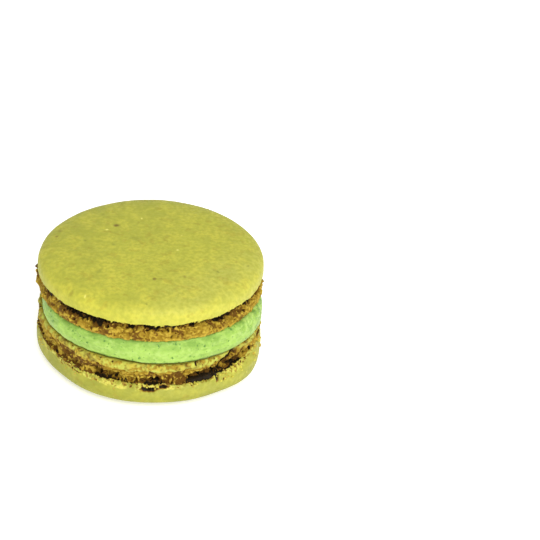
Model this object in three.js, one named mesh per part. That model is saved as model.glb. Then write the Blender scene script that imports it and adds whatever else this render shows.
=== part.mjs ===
// A macaron: two baked almond meringue shells, each with a ruffled foot round its flat base, held
// together by a disc of green cream. The lower shell lies upside down and carries the rest.
//
// Millimetres, +Z up, -Y towards the viewer. The origin is the middle of the small flat spot of the
// lower dome that the macaron stands on.
//
// Every piece is turned round a vertical axis and then made uneven. Its section is worked out again at
// each angle round the axis, with slow waves in its outline and, on the feet, crags and tears.
import * as THREE from "three";

const { degToRad, smoothstep } = THREE.MathUtils;
const TURN = 2 * Math.PI;
const SHELL_COLUMNS = 152; // sections round a shell
const CREAM_COLUMNS = 96; // sections round the cream

// The shells. Heights are counted from a shell's flat base towards the top of its dome.
const LOWER = {
  radius: 22.5, // the dome's widest line
  foot: 4.6, // height of the ruffled foot
  curl: 1.4, // the dome's edge curls back by this much over the foot
  dome: 4.7, // from the widest line to the middle of the dome
  squareness: 4.8, // exponent of the dome's section: 2 is an ellipse, more has fuller shoulders
  flatSpot: 10, // radius of the flat spot in the middle of the dome
  baseLean: degToRad(1), // the base is lower on the right
  edgeRise: 1.7, // the dome's edge reaches this much further up the foot at the front right
  seed: 4711, // of the crags
  waves: [
    { height: 0.12, lobes: 2, phase: 0.6 },
    { height: 0.09, lobes: 3, phase: 2.1 },
    { height: 0.05, lobes: 7, phase: 4.0 },
  ],
  // Swells of the dome: angle round the axis and spread in degrees, and height, below 0 for a dent.
  swells: [
    { angle: -30, spread: 15, height: 0.9 },
    { angle: -140, spread: 20, height: -0.6 },
  ],
  // Tears in the foot: angle round the axis in degrees, slant in degrees over the foot's height, the
  // shares of that height where the tear starts and ends, half its width and its depth.
  tears: [
    { angle: -44, slant: 13, from: 0.12, to: 1.2, half: 1.8, depth: 1.2 },
    { angle: -87, slant: 0, from: 0.06, to: 0.34, half: 1.8, depth: 0.9 },
    { angle: -61, slant: -4, from: 0.06, to: 0.45, half: 3.0, depth: 0.7 },
    { angle: -110, slant: 4, from: 0.06, to: 0.45, half: 3.4, depth: 0.6 },
    { angle: 128, slant: -7, from: 0.2, to: 1.2, half: 1.5, depth: 1.1 },
  ],
};
const UPPER = {
  radius: 22.4,
  foot: 3.8,
  curl: 0.3,
  dome: 4.2,
  squareness: 4.2,
  flatSpot: 0,
  baseLean: 0,
  edgeRise: 0,
  seed: 1507,
  waves: [
    { height: 0.12, lobes: 2, phase: -0.2 },
    { height: 0.12, lobes: 3, phase: -2.6 },
    { height: 0.04, lobes: 6, phase: 1.2 },
  ],
  swells: [],
  tears: [
    { angle: -119, slant: 4, from: 0.06, to: 0.45, half: 4.4, depth: 0.5 },
    { angle: -46, slant: -3, from: 0.06, to: 0.5, half: 3.6, depth: 0.6 },
    { angle: 75, slant: 6, from: 0.12, to: 1.2, half: 1.5, depth: 1 },
  ],
};

// The cream, squeezed out a little to the front and to the right.
const CREAM = {
  thick: 5,
  radius: 21.4,
  bulge: 1.6, // how far its side stands out past its flat faces
  fullness: 0.5, // exponent of the side's section: 1 is half an ellipse, less has fuller edges
  shiftX: 0.1,
  shiftY: -1,
  waves: [
    { height: 0.1, lobes: 2, phase: 1.1 },
    { height: 0.1, lobes: 3, phase: 5.2 },
    { height: 0.07, lobes: 5, phase: 0.3 },
    { height: 0.05, lobes: 9, phase: 2.0 },
  ],
  swells: [
    { angle: -24, spread: 22, height: 1.7 },
    { angle: -146, spread: 20, height: 1.15 },
  ],
};

// How the upper shell lies on the cream.
const UPPER_SHIFT = -0.15;
const UPPER_LEAN_X = degToRad(-0.8); // the front is raised
const UPPER_LEAN_Y = degToRad(-1.2); // and so is the right-hand side
const SEAM = 0.3; // gap between the cream and each shell

// The foot's section, from the dome's edge down to the base: share of the foot's height, and how far
// the surface stands out from the dome's widest line.
const FOOT_SECTION = [
  { share: 0, out: -0.7 },
  { share: 0.14, out: -1.6 },
  { share: 0.34, out: -0.85 },
  { share: 0.6, out: -0.35 },
  { share: 0.84, out: -0.1 },
  { share: 0.97, out: -0.25 },
  { share: 1, out: -0.6 },
];
// Rings of crags along the foot, and the size of one crag.
const CRAG_RINGS = [0.24, 0.55, 0.82];
const CRAGS_PER_RING = 46;
const CRAG_PUSH = 0.7; // the most that one stands out
const CRAG_REACH = 1.15;
const LIP_START = 0.72; // share of the foot's height where the crags begin to die away into the lip
const TEAR_FADE = 0.12; // share of the foot's height over which a tear starts and ends
const EDGE_WANDER = 0.28; // how far the dome's edge wanders up and down
const EDGE_RISE_ANGLE = degToRad(-24);
const EDGE_RISE_SPREAD = degToRad(27);

const DOME_ROWS = 8;
const FOOT_ROWS = 10;
const CREAM_ROWS = 8;

const shellHeight = (shell) => shell.foot + shell.curl + shell.dome;

// The same run of numbers between 0 and 1 each time, from a whole-number seed.
function seeded(seed) {
  let state = seed;
  return () => (state = (state * 16807) % 2147483647) / 2147483647;
}

function waveAt(waves, angle) {
  return waves.reduce((sum, wave) => sum + wave.height * Math.sin(wave.lobes * angle + wave.phase), 0);
}

function swellAt(swells, angle) {
  return swells.reduce((sum, swell) => {
    const away = angleBetween(angle, degToRad(swell.angle)) / degToRad(swell.spread);
    return sum + swell.height * Math.exp(-away * away);
  }, 0);
}

// Crags spread round a foot in rings, each with its own place, reach and push; some are hollows.
function makeCrags(shell) {
  const draw = seeded(shell.seed);
  const crags = [];
  for (const ring of CRAG_RINGS) {
    for (let i = 0; i < CRAGS_PER_RING; i++) {
      crags.push({
        angle: ((i + 0.9 * (draw() - 0.5)) * TURN) / CRAGS_PER_RING,
        share: ring + 0.16 * (draw() - 0.5),
        reach: CRAG_REACH * (0.65 + 0.7 * draw()),
        push: CRAG_PUSH * (1.6 * draw() - 0.6),
      });
    }
  }
  return crags;
}

// How far the dome's edge lies above its mean height at an angle.
function edgeHeight(shell, angle) {
  const wander = 0.5 * Math.sin(5 * angle + shell.seed) + 0.5 * Math.sin(13 * angle + 2 * shell.seed);
  const rise = Math.exp(-((angleBetween(angle, EDGE_RISE_ANGLE) / EDGE_RISE_SPREAD) ** 2));
  return EDGE_WANDER * wander - shell.edgeRise * rise;
}

// The shorter way round from one angle to another, signed.
function angleBetween(a, b) {
  const d = (a - b) % TURN;
  return d > Math.PI ? d - TURN : d < -Math.PI ? d + TURN : d;
}

// How far the foot stands out at an angle and a share of its height: crags, less the tears. The crags
// die away towards the base, whose edge is a smooth lip.
function footRelief(shell, crags, angle, share) {
  let out = 0;
  for (const crag of crags) {
    const along = (angleBetween(angle, crag.angle) * shell.radius) / crag.reach;
    const up = ((share - crag.share) * shell.foot) / crag.reach;
    out += crag.push * Math.exp(-along * along - up * up);
  }
  out *= 1 - smoothstep(share, LIP_START, 1);
  for (const tear of shell.tears) {
    const middle = degToRad(tear.angle + tear.slant * (share - 0.5));
    const along = (angleBetween(angle, middle) * shell.radius) / tear.half;
    const start = smoothstep(share, tear.from - TEAR_FADE, tear.from + TEAR_FADE);
    const end = 1 - smoothstep(share, tear.to - TEAR_FADE, tear.to + TEAR_FADE);
    out -= tear.depth * start * end * Math.exp(-along * along);
  }
  return out;
}

// A shell's section, from the dome's middle to the base's middle: radius, height above the base, and
// the share of the foot's height on the foot's rows. The dome is r = R cos^(2/n) a, z = h sin^(2/n) a.
function shellSection(shell) {
  const top = shellHeight(shell);
  const rows = [{ r: 0, z: top }];
  if (shell.flatSpot) rows.push({ r: shell.flatSpot, z: top });
  for (let i = 1; i <= DOME_ROWS; i++) {
    // Rows crowd towards the shoulder, where the section turns fastest.
    const a = (Math.PI / 2) * (1 - (i / DOME_ROWS) ** 0.8);
    const r = shell.radius * Math.cos(a) ** (2 / shell.squareness);
    const z = shell.foot + shell.curl + shell.dome * Math.sin(a) ** (2 / shell.squareness);
    if (r > shell.flatSpot + 1) rows.push({ r, z });
  }
  const foot = new THREE.SplineCurve(FOOT_SECTION.map(({ share, out }) => new THREE.Vector2(share, out)));
  for (let i = 0; i <= FOOT_ROWS; i++) {
    const { x: share, y: out } = foot.getPoint(i / FOOT_ROWS);
    rows.push({ r: shell.radius + out, z: shell.foot * (1 - share), share });
  }
  rows.push({ r: 0, z: 0 });
  return rows;
}

// A closed solid with a section of its own at each column. A LatheGeometry gives the faces, and
// place(row, angle) gives each of its points.
function turnedSolid(rows, columns, place) {
  const outline = rows.map((row) => new THREE.Vector2(row.r, row.z));
  const geometry = new THREE.LatheGeometry(outline, columns);
  const position = geometry.getAttribute("position");
  for (let i = 0; i < position.count; i++) {
    const row = rows[i % rows.length];
    const column = Math.floor(i / rows.length) % columns;
    position.setXYZ(i, ...place(row, (column / columns) * TURN));
  }
  geometry.deleteAttribute("uv");
  geometry.computeVertexNormals();
  return geometry;
}

function shellGeometry(shell, domeUp) {
  const crags = makeCrags(shell);
  const top = shellHeight(shell);
  const rows = shellSection(shell);
  if (domeUp) rows.reverse();
  return turnedSolid(rows, SHELL_COLUMNS, (row, angle) => {
    let { r, z } = row;
    if (z < top) r += waveAt(shell.waves, angle) * (row.r / shell.radius) ** 2;
    if (row.share === undefined) r += swellAt(shell.swells, angle) * (row.r / shell.radius) ** 2;
    else r += footRelief(shell, crags, angle, row.share);
    // The dome's edge wanders over the upper half of the foot, and the base leans but stays flat.
    if (row.share < 0.5) z += edgeHeight(shell, angle) * (1 - 2 * row.share);
    const x = r * Math.cos(angle);
    z += x * Math.tan(shell.baseLean) * (row.share ?? 0);
    return [x, r * Math.sin(angle), domeUp ? z : top - z];
  });
}

// The cream: flat where it lies on the shells, with a full rounded side. Its upper face follows the
// lean of the upper shell.
function creamGeometry() {
  const rows = [{ r: 0, share: 0 }];
  for (let i = 0; i <= CREAM_ROWS; i++) {
    const a = Math.PI * (i / CREAM_ROWS - 0.5);
    const side = Math.max(0, Math.cos(a)) ** CREAM.fullness;
    rows.push({ r: CREAM.radius - CREAM.bulge * (1 - side), share: 0.5 + 0.5 * Math.sin(a) });
  }
  rows.push({ r: 0, share: 1 });
  for (const row of rows) row.z = row.share * CREAM.thick;
  return turnedSolid(rows, CREAM_COLUMNS, (row, angle) => {
    const r = row.r ? row.r + waveAt(CREAM.waves, angle) + swellAt(CREAM.swells, angle) : 0;
    const x = CREAM.shiftX + r * Math.cos(angle);
    const y = CREAM.shiftY + r * Math.sin(angle);
    const under = SEAM - x * Math.tan(LOWER.baseLean);
    const lean = y * Math.tan(UPPER_LEAN_X) - (x - UPPER_SHIFT) * Math.tan(UPPER_LEAN_Y);
    const over = CREAM.thick - SEAM + lean;
    return [x, y, under + row.share * (over - under)];
  });
}

function piece(name, geometry, colour, height) {
  const material = new THREE.MeshStandardMaterial({ color: colour, roughness: 0.75, metalness: 0 });
  const mesh = new THREE.Mesh(geometry, material);
  mesh.name = name;
  mesh.position.z = height;
  return mesh;
}

const creamHeight = shellHeight(LOWER);
const lowerShell = piece("lower_shell", shellGeometry(LOWER, false), "#b9b457", 0);
const cream = piece("cream_filling", creamGeometry(), "#a8dd84", creamHeight);
const upperShell = piece("upper_shell", shellGeometry(UPPER, true), "#bdbb58", creamHeight + CREAM.thick);
upperShell.position.x = UPPER_SHIFT;
upperShell.rotation.set(UPPER_LEAN_X, UPPER_LEAN_Y, 0);

const macaron = new THREE.Group();
macaron.add(lowerShell, cream, upperShell);

export default macaron;
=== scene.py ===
import math
from collections import namedtuple
from types import SimpleNamespace

import bmesh
import bpy
import numpy as np
from mathutils import Matrix, Vector


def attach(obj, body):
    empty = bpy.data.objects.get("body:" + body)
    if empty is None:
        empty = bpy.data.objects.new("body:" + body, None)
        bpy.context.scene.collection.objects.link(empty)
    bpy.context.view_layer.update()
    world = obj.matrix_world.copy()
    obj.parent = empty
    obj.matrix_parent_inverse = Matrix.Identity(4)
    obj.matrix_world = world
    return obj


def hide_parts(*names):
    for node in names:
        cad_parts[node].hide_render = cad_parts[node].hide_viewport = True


bl_info = {
    "name": "Filled macaron",
    "version": (1, 0, 0),
    "blender": (4, 5, 0),
    "location": "3D View > Sidebar > Macaron",
    "description": "Two baked almond shells with ruffled feet, held together by green cream",
    "category": "Add Mesh",
}

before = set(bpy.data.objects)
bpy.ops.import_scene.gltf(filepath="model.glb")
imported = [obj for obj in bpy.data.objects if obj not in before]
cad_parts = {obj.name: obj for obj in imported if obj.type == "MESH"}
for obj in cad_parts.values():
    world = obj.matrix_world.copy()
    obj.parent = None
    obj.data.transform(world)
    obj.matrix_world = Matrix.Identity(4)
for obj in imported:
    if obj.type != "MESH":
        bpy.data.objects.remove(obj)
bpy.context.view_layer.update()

MM = 0.001
TURN = 2 * math.pi

# A slow wave in a round outline: its height in mm, how many lobes it has, and its phase.
Wave = namedtuple("Wave", "height lobes phase")
# A swell of an outline, or a dent: angle round the axis and spread in degrees, and height in mm.
Swell = namedtuple("Swell", "angle spread height")
# A tear in a foot: angle round the axis and slant over the foot's height in degrees, the shares of
# that height where it starts and ends, and half its width and its depth in mm.
Tear = namedtuple("Tear", "angle slant start end half depth")
# A crack in a skin: angle round the axis in degrees, how far it is from the skin's edge, half its
# length round the shell, half its height and its depth, all in mm.
Crack = namedtuple("Crack", "angle down half high depth")
# Of a shell's other marks, crevice and lip are shares of the foot's height: where the crevice under
# the dome's edge ends at its widest, and where the smooth lip starts, at the front and at the sides.
# open is the range of noise over which the crevice opens, dark is how much painted shade the
# crevice gets where it's filled and where it's open, and filling is how much crumb stands in the
# groove where it's shut. fringe is how wide in mm the torn, bubbled edge of the skin is, at least
# and at most. edge lists the swells of the dome's edge away from the base, and gashes the narrow
# tears. Each spot on a skin is given by where it lies seen from above and its two radii, in mm,
# and how strong it is.

LOWER_MARKS = SimpleNamespace(
    seed=4711,
    filling=1.0,
    crevice=0.12,
    open=(0.0, 0.9),
    dark=(0.0, 0.28),
    lip=(0.6, 0.8),
    fringe=(0.4, 1.6),
    cracks=[
        Crack(-88, 1.3, 1.5, 0.65, 1.1),
        Crack(-81, 0.5, 0.9, 0.4, 0.6),
        Crack(-51, 0.8, 0.35, 1.1, 0.7),
        Crack(-47, 1.6, 0.3, 0.4, 0.45),
        Crack(-128, 1.0, 1.2, 0.2, 0.3),
    ],
    waves=[Wave(0.12, 2, 0.6), Wave(0.09, 3, 2.1), Wave(0.05, 7, 4.0)],
    swells=[Swell(-30, 15, 0.9), Swell(-140, 20, -0.6)],
    edge=[Swell(-24, 27, 1.0), Swell(-61, 18, 0.75)],
    gashes=[
        Tear(-44, 13, 0.3, 1.3, 0.6, 1.3),
        Tear(-34, 6, 0.06, 0.5, 0.9, 0.9),
        Tear(-62, -3, 0.8, 1.3, 0.35, 0.5),
        Tear(-58, 4, 0.8, 1.3, 0.25, 0.4),
    ],
    tears=[
        Tear(-44, 13, 0.12, 1.2, 1.8, 1.2),
        Tear(-87, 0, 0.06, 0.34, 1.8, 0.9),
        Tear(-61, -4, 0.06, 0.45, 3.0, 0.7),
        Tear(-110, 4, 0.06, 0.45, 3.4, 0.6),
        Tear(128, -7, 0.2, 1.2, 1.5, 1.1),
    ],
    spots={"brown": [], "green": [], "bright": []},
)
UPPER_MARKS = SimpleNamespace(
    seed=1507,
    filling=0.3,
    crevice=0.4,
    open=(-0.5, 0.5),
    dark=(0.34, 0.42),
    lip=(0.84, 0.84),
    fringe=(0.15, 0.4),
    cracks=[],
    waves=[Wave(0.12, 2, -0.2), Wave(0.12, 3, -2.6), Wave(0.04, 6, 1.2)],
    swells=[],
    edge=[],
    gashes=[],
    tears=[
        Tear(-119, 4, 0.06, 0.45, 4.4, 0.5),
        Tear(-46, -3, 0.06, 0.5, 3.6, 0.6),
        Tear(75, 6, 0.12, 1.2, 1.5, 1.0),
    ],
    spots={
        "brown": [
            (-7.4, 7.9, 0.65, 0.6, 1.0), (0.9, -12.1, 0.4, 0.45, 1.0), (2.0, -12.1, 0.5, 0.25, 0.5),
            (-19.0, 3.4, 0.3, 0.5, 0.8), (-18.6, 5.9, 0.5, 0.9, 0.4), (6.6, -10.8, 0.4, 0.5, 0.5),
            (5.9, -9.0, 0.3, 0.4, 0.3), (16.7, -4.0, 0.4, 0.5, 0.4), (-14.9, -16.0, 0.6, 0.5, 0.35),
        ],
        "green": [
            (-13.3, 1.4, 0.3, 0.4, 0.6), (-3.5, 2.9, 1.5, 0.8, 0.3), (-7.6, 0.3, 0.7, 0.5, 0.4),
            (-10.2, 12.4, 0.4, 0.6, 0.4), (13.1, -8.3, 0.35, 0.45, 0.7),
            (19.1, -4.7, 0.25, 0.35, 0.7), (-10.1, -9.8, 0.6, 0.8, 0.3),
            (-0.5, -20.2, 0.3, 0.3, 0.7), (2.7, 4.3, 0.8, 0.6, 0.3),
        ],
        "bright": [
            (-9.2, 5.9, 0.26, 0.34, 1.0), (-2.5, 11.0, 0.2, 0.3, 1.0), (5.1, -0.9, 0.28, 0.36, 0.9),
            (5.6, 4.8, 0.2, 0.3, 0.5), (-12.2, -17.6, 0.25, 0.3, 0.8),
        ],
    },
)
CREAM_WAVES = [
    Wave(0.1, 2, 1.1),
    Wave(0.1, 3, 5.2),
    Wave(0.07, 5, 0.3),
    Wave(0.05, 9, 2.0),
]
CREAM_SWELLS = [Swell(-24, 22, 1.7), Swell(-146, 20, 1.15)]

# The foot's section from the dome's edge to the base: share of its height, and how far in mm the
# surface stands out from the dome's widest line.
FOOT_SECTION = np.array(
    [(0, -0.7), (0.14, -1.6), (0.34, -0.85), (0.6, -0.35), (0.84, -0.1), (0.97, -0.25), (1, -0.6)]
)
CRAG_RINGS = (0.24, 0.55, 0.82)
CRAGS_PER_RING = 46
LIP_START = 0.72
TEAR_FADE = 0.12
TUCK = 0.7 * MM  # how far the dome's edge curls in under its widest line
FLOOR_RINGS = (0.05, 0.3, 1.0, 3.0)  # radii of the floor's rings
FLOOR_COLUMNS = 96
CRUMBS = {"lower": 260, "upper": 150}  # how many loose crumbs each shell has
LEAST_CRUMB = 0.09 * MM  # radius of the smallest crumb, and how much larger the largest one is
CRUMB_SPREAD = 0.22 * MM
KEY_PLACE = (0.2, -0.66, 0.68)  # the key light, in front and above, faces the macaron's middle
KEY_SIZE = 0.8
KEY_COLOUR = (1.0, 0.975, 0.92)
PICTURE = 540.0  # width and height of the picture in pixels
PLACE_IN_PICTURE = (151.2, 290.4)  # the macaron's middle, in pixels from the left and from the top


def length(name, description, default):
    """A length that a user can change, in metres."""
    return bpy.props.FloatProperty(
        name=name, description=description, default=default, unit="LENGTH", precision=5
    )


def colour(name, description, default):
    """A colour that a user can change, as linear red, green and blue."""
    return bpy.props.FloatVectorProperty(
        name=name, description=description, default=default, subtype="COLOR", min=0, max=1
    )


def amount(name, description, default, low=0.0, high=1.0):
    """A plain number that a user can change."""
    return bpy.props.FloatProperty(
        name=name, description=description, default=default, min=low, max=high
    )


def shell_sizes(radius, foot, curl, dome, squareness, flat_spot, lean, edge_rise, ragged):
    """The properties of one shell, with that shell's own defaults."""
    return {
        "radius": length("Radius", "Radius of the dome's widest line", radius),
        "foot": length("Foot height", "Height of the ruffled foot", foot),
        "curl": length("Curl", "How far the dome's edge reaches back over the foot", curl),
        "dome": length("Dome height", "From the widest line to the middle of the dome", dome),
        "squareness": amount("Squareness", "Exponent of the dome's section", squareness, 2, 8),
        "flat_spot": length("Flat spot", "Radius of the flat middle of the dome", flat_spot),
        "base_lean": bpy.props.FloatProperty(
            name="Base lean",
            description="How far the base is turned about Y",
            default=math.radians(lean),
            subtype="ANGLE",
        ),
        "edge_rise": length("Edge rise", "How far the edge reaches up at the front right", edge_rise),
        "ragged": length("Ragged edge", "How far the torn edge wanders", ragged),
    }


class LowerShellSizes(bpy.types.PropertyGroup):
    """Sizes of the shell that the macaron stands on."""

    __annotations__ = shell_sizes(
        22.5 * MM, 4.6 * MM, 1.4 * MM, 4.7 * MM, 4.8, 10 * MM, 1, 1.7 * MM, 0.3 * MM
    )


class UpperShellSizes(bpy.types.PropertyGroup):
    """Sizes of the shell on top."""

    __annotations__ = shell_sizes(
        22.4 * MM, 3.8 * MM, 0.3 * MM, 4.2 * MM, 4.2, 0.0, 0, 0.0, 0.26 * MM
    )


class CreamSizes(bpy.types.PropertyGroup):
    """Sizes of the cream, and how the upper shell lies on it."""

    thick: length("Thickness", "Height of the cream", 5 * MM)
    radius: length("Radius", "Mean radius of its side", 21.4 * MM)
    bulge: length("Bulge", "How far its side stands out past its flat faces", 1.6 * MM)
    fullness: amount("Fullness", "Exponent of the side: 1 is half an ellipse", 0.5, 0.2, 1)
    shift: bpy.props.FloatVectorProperty(
        name="Shift",
        description="How far the cream is squeezed out to the right and to the back",
        size=2,
        default=(0.1 * MM, -1 * MM),
        unit="LENGTH",
        precision=5,
    )
    upper_shift: length("Upper shift", "How far the upper shell lies to the right", -0.15 * MM)
    upper_lean: bpy.props.FloatVectorProperty(
        name="Upper lean",
        description="How far the upper shell is turned about X and Y",
        size=2,
        default=(math.radians(-0.8), math.radians(-1.2)),
        unit="ROTATION",
    )


class MacaronColours(bpy.types.PropertyGroup):
    """The colours of skin, crumb and cream."""

    skin: colour("Skin", "The baked skin of the shells", (0.42, 0.425, 0.045))
    skin_pale: colour("Pale skin", "Brighter, yellower drifts in the skin", (0.56, 0.52, 0.055))
    # Besides its drifts, this greener, darker skin is painted shade on the back and the left, towards
    # the floor on the lower shell, and on the shelf beside the cream.
    skin_dull_and_shade: colour("Dull skin", "Greener, darker drifts in the skin", (0.3, 0.31, 0.035))
    # Painted light: the skin is made paler towards the front right, where the key light falls.
    skin_lit_side: colour("Light skin", "The skin towards the right", (0.46, 0.46, 0.1))
    # Painted shade laid over the whole lower skin, which lies under the cream and the upper shell.
    skin_shade: colour("Shaded skin", "How the dull skin darkens", (0.14, 0.145, 0.014))
    brown_spot: colour("Brown spots", "Browned spots on the skin", (0.13, 0.075, 0.012))
    green_spot: colour("Green spots", "Bits of nut in the skin", (0.12, 0.14, 0.02))
    bright_spot: colour("Bright spots", "Pale grains on the skin", (0.75, 0.72, 0.16))
    crumb: colour("Crumb", "The baked crumb of the feet", (0.25, 0.155, 0.01))
    crumb_pale: colour("Pale crumb", "Tips of the crumb", (0.44, 0.31, 0.035))
    rust: colour("Browned crumb", "Where the crumb is baked reddish brown", (0.12, 0.055, 0.004))
    # Painted shade: near black, laid in the darkest crevices, pits and cracks.
    hollow: colour("Hollows", "Deep in the crevices", (0.012, 0.007, 0.001))
    lower_lip: colour("Lower lip", "The lip of the lower foot", (0.43, 0.46, 0.075))
    upper_lip: colour("Upper lip", "The lip of the upper foot", (0.44, 0.31, 0.035))
    fringe: colour("Fringe", "The torn edge of the skin", (0.58, 0.52, 0.09))
    # Painted shade: the shelf beside the cream is made dark, as it lies under the upper shell.
    ledge_shade: colour("Ledge", "The base of a shell, beside the cream", (0.2, 0.19, 0.02))
    cream: colour("Cream", "The green cream", (0.31, 0.49, 0.085))
    # Besides its darker green drifts, this is painted shade in the dips and along the top of the cream.
    cream_deep_and_shade: colour("Deep cream", "Folds and the shaded top of the cream", (0.17, 0.31, 0.04))
    # Painted shadow: the dark line where the cream meets the lower lip.
    cream_contact_shadow: colour("Cream's foot", "The line where the cream meets the lip", (0.05, 0.08, 0.008))
    cream_fleck: colour("Flecks", "Bits of nut in the cream", (0.06, 0.17, 0.02))


class StageSettings(bpy.types.PropertyGroup):
    """Light and floor."""

    sky: amount("Sky", "Strength of the even light from all round", 0.72, 0, 5)
    key: amount("Key light", "Power of the large soft light in front, in watts", 9.6, 0, 500)
    glow: amount("Glow", "How much light the floor gives off, as a light table does", 0.4, 0, 5)
    floor: colour("Floor", "The pale floor", (0.9, 0.9, 0.9))


# Noise.


def lattice_hash(x, y, z, seed):
    """A well mixed whole number of 32 bits for each whole-numbered point x, y, z."""
    x, y, z = (c.astype(np.int64).astype(np.uint32) for c in (x, y, z))
    h = (x * np.uint32(0x8DA6B343)) ^ (y * np.uint32(0xD8163841)) ^ (z * np.uint32(0xCB1AB31F))
    h ^= np.uint32(seed * 2654435761 % 2**32)
    h ^= h >> np.uint32(16)
    h *= np.uint32(0x7FEB352D)
    h ^= h >> np.uint32(15)
    h *= np.uint32(0x846CA68B)
    h ^= h >> np.uint32(16)
    return h


def three_parts(h):
    """Three numbers from 0 to 1 out of each 32-bit number."""
    return np.stack([((h >> np.uint32(s)) & np.uint32(1023)) / 1023.0 for s in (0, 10, 20)], axis=-1)


def smooth_noise(points, size, seed):
    """Rolling noise of about -1 to 1 with swells of that size. Each corner of a lattice has a slope
    of its own, and a point takes the eight slopes round it, eased by 6t^5 - 15t^4 + 10t^3."""
    q = points / size
    cell = np.floor(q)
    f = q - cell
    ease = f * f * f * (f * (f * 6 - 15) + 10)
    total = np.zeros(q.shape[:-1])
    for corner in np.ndindex(2, 2, 2):
        corner = np.array(corner)
        at = cell + corner
        slope = 2 * three_parts(lattice_hash(at[..., 0], at[..., 1], at[..., 2], seed)) - 1
        weight = np.prod(np.where(corner, ease, 1 - ease), axis=-1)
        total += weight * np.sum((f - corner) * slope, axis=-1)
    return 1.5 * total


def cell_noise(points, size, seed):
    """One point is strewn in each cell of a lattice of that size. Gives the distance to the nearest
    of them in cell sizes, and a number from 0 to 1 that belongs to it."""
    q = points / size
    cell = np.floor(q)
    nearest = np.full(q.shape[:-1], np.inf)
    own = np.zeros(q.shape[:-1])
    for offset in np.ndindex(3, 3, 3):
        at = cell + np.array(offset) - 1
        h = lattice_hash(at[..., 0], at[..., 1], at[..., 2], seed)
        away = np.linalg.norm(q - at - three_parts(h), axis=-1)
        closer = away < nearest
        nearest = np.where(closer, away, nearest)
        own = np.where(closer, (h >> np.uint32(24)) / 255.0, own)
    return nearest, own


def rise(x, low, high):
    """Goes smoothly from 0 at low to 1 at high, as 3t^2 - 2t^3."""
    t = np.clip((x - low) / (high - low), 0, 1)
    return t * t * (3 - 2 * t)


def bumps(points, size, seed, height, level=0.45):
    """A round lump in each cell of noise of a size: height (level - away) (0.4 + own), where away is
    from the cell's middle, in cells, and own is the cell's own number."""
    near, own = cell_noise(points, size, seed)
    return height * (level - near) * (0.4 + own)


def dimples(points, size, seed, share, depth, inner, outer):
    """Dents in a share of the cells of noise of a size: depth in the middle, and none past outer."""
    near, own = cell_noise(points, size, seed)
    return np.where(own < share, -depth * (1 - rise(near, inner, outer)), 0)


def warped(points, size, push, seed):
    """The points, each moved by up to push along each axis by noise of that size."""
    moves = [smooth_noise(points, size, seed + i) for i in range(3)]
    return points + push * np.stack(moves, axis=-1)


def softened(field, passes):
    """The field after so many passes of a 1-2-1 mean over its rows and round its columns."""
    for _ in range(passes):
        rows = np.concatenate([field[:1], field, field[-1:]])
        field = (rows[:-2] + 2 * field + rows[2:]) / 4
        field = (np.roll(field, 1, axis=1) + 2 * field + np.roll(field, -1, axis=1)) / 4
    return field


# Shapes.


def turned_from(a, b):
    """The shorter way round from angle b to angle a, signed."""
    return (a - b + math.pi) % TURN - math.pi


def near_angle(angles, middle, spread):
    """exp(-(away / spread)^2), where away is the angle from the middle, and both are in degrees."""
    return np.exp(-((turned_from(angles, math.radians(middle)) / math.radians(spread)) ** 2))


def all_round(columns):
    """The angles of that many columns."""
    return np.arange(columns) * (TURN / columns)


def rim_points(shell, angles):
    """Points on the circle of the dome's widest line."""
    return around(np.full(1, shell.radius), np.zeros(1), angles)[0]


def wave_at(waves, angle):
    """The sum of height sin(lobes angle + phase) over the waves, in metres."""
    return MM * sum(w.height * np.sin(w.lobes * angle + w.phase) for w in waves)


def swell_at(swells, angle):
    """The sum of height exp(-(away / spread)^2) over the swells, in metres."""
    return MM * sum((s.height * near_angle(angle, s.angle, s.spread) for s in swells), 0 * angle)


def even_draws(seed, count):
    """The same numbers from 0 to 1 each time: each state is 16807 times the last, mod 2^31 - 1."""
    states = [seed]
    for _ in range(count):
        states.append(states[-1] * 16807 % 2147483647)
    return np.array(states[1:]) / 2147483647


def crag_relief(shell, shares, angles):
    """The sum over the crags of push exp(-(along / reach)^2 - (up / reach)^2), where along is round
    the foot and up is over its height. It dies away over the lip."""
    d = even_draws(shell.seed, len(CRAG_RINGS) * CRAGS_PER_RING * 4)
    d = d.reshape(len(CRAG_RINGS), CRAGS_PER_RING, 4)
    turn = (np.arange(CRAGS_PER_RING) + 0.9 * (d[..., 0] - 0.5)) * TURN / CRAGS_PER_RING
    share = np.array(CRAG_RINGS)[:, None] + 0.16 * (d[..., 1] - 0.5)
    reach = 1.15 * MM * (0.65 + 0.7 * d[..., 2])
    push = 0.7 * MM * (1.6 * d[..., 3] - 0.6)
    turn, share, reach, push = (v.ravel() for v in (turn, share, reach, push))
    up = (shares[:, None] - share) * shell.foot / reach
    along = turned_from(angles, turn[:, None]) * shell.radius / reach[:, None]
    relief = (np.exp(-up * up) * push) @ np.exp(-along * along)
    return relief * (1 - rise(shares, LIP_START, 1))[:, None]


def tear_depth(shell, tears, shares, angles):
    """How deep the tears are: depth exp(-(along / half)^2), eased in and out over the height."""
    s, a = shares[:, None], angles[None, :]
    total = np.zeros((len(shares), len(angles)))
    for tear in tears:
        middle = np.radians(tear.angle + tear.slant * (s - 0.5))
        along = turned_from(a, middle) * shell.radius / (tear.half * MM)
        start = rise(s, tear.start - TEAR_FADE, tear.start + TEAR_FADE)
        end = 1 - rise(s, tear.end - TEAR_FADE, tear.end + TEAR_FADE)
        total = total + tear.depth * MM * start * end * np.exp(-along * along)
    return total


def edge_height(shell, angles):
    """How far the dome's edge lies above its mean height: two waves, less a rise at the front right,
    and the swells of the edge."""
    wander = 0.5 * np.sin(5 * angles + shell.seed) + 0.5 * np.sin(13 * angles + 2 * shell.seed)
    rise_at = near_angle(angles, -24, 27)
    return 0.28 * MM * wander - shell.edge_rise * rise_at + swell_at(shell.edge, angles)


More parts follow.
